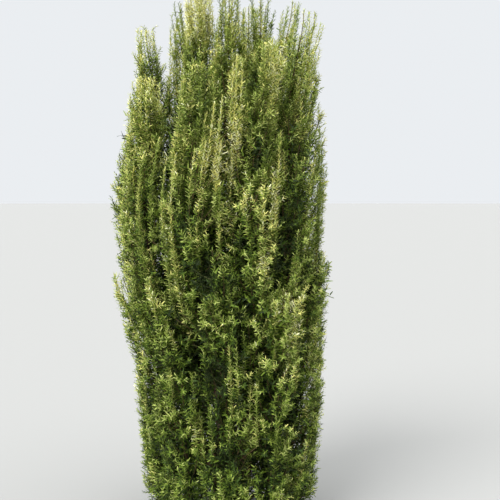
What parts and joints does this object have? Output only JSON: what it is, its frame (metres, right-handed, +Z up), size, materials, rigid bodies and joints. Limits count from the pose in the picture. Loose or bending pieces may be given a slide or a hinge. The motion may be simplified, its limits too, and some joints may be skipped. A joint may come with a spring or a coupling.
{
  "type": "columnar yew",
  "caption": "Columnar yew tree: a short fluted trunk, steep boughs and upright plumes of needles packed into one tall column.",
  "frame": {"origin": "middle of the trunk's flat cut at ground level", "axes": "+Z up along the column; -Y towards the viewer of the picture; +X to that viewer's right"},
  "size_m": [1.1255, 1.1087, 2.71],
  "materials": {
    "trunk_bark": "matte, fluted, flaking red-brown bark",
    "bough_bark": "matte, thin red-brown bark",
    "needles_inner": "satin needles, gold-green",
    "needles_tall": "satin needles, green with gold tips",
    "needles_skirt": "satin needles, mid green"
  },
  "bodies": {
    "root": {"trunk": "trunk_bark", "bough_inner_01": "bough_bark", "bough_inner_02": "bough_bark", "bough_inner_03": "bough_bark", "bough_inner_04": "bough_bark", "bough_inner_05": "bough_bark", "bough_tall_01": "bough_bark", "bough_tall_02": "bough_bark", "bough_tall_03": "bough_bark", "bough_tall_04": "bough_bark", "bough_tall_05": "bough_bark", "bough_tall_06": "bough_bark", "bough_tall_07": "bough_bark", "bough_tall_08": "bough_bark", "bough_tall_09": "bough_bark", "bough_tall_10": "bough_bark", "bough_skirt_01": "bough_bark", "bough_skirt_02": "bough_bark", "bough_skirt_03": "bough_bark", "bough_skirt_04": "bough_bark", "bough_skirt_05": "bough_bark", "bough_skirt_06": "bough_bark", "bough_skirt_07": "bough_bark", "bough_skirt_08": "bough_bark", "bough_skirt_09": "bough_bark", "bough_skirt_10": "bough_bark", "plume_inner_01": "needles_inner", "plume_inner_02": "needles_inner", "plume_inner_03": "needles_inner", "plume_inner_04": "needles_inner", "plume_inner_05": "needles_inner", "plume_tall_01": "needles_tall", "plume_tall_02": "needles_tall", "plume_tall_03": "needles_tall", "plume_tall_04": "needles_tall", "plume_tall_05": "needles_tall", "plume_tall_06": "needles_tall", "plume_tall_07": "needles_tall", "plume_tall_08": "needles_tall", "plume_tall_09": "needles_tall", "plume_tall_10": "needles_tall", "plume_skirt_01": "needles_skirt", "plume_skirt_02": "needles_skirt", "plume_skirt_03": "needles_skirt", "plume_skirt_04": "needles_skirt", "plume_skirt_05": "needles_skirt", "plume_skirt_06": "needles_skirt", "plume_skirt_07": "needles_skirt", "plume_skirt_08": "needles_skirt", "plume_skirt_09": "needles_skirt", "plume_skirt_10": "needles_skirt"}
  },
  "joints": []
}
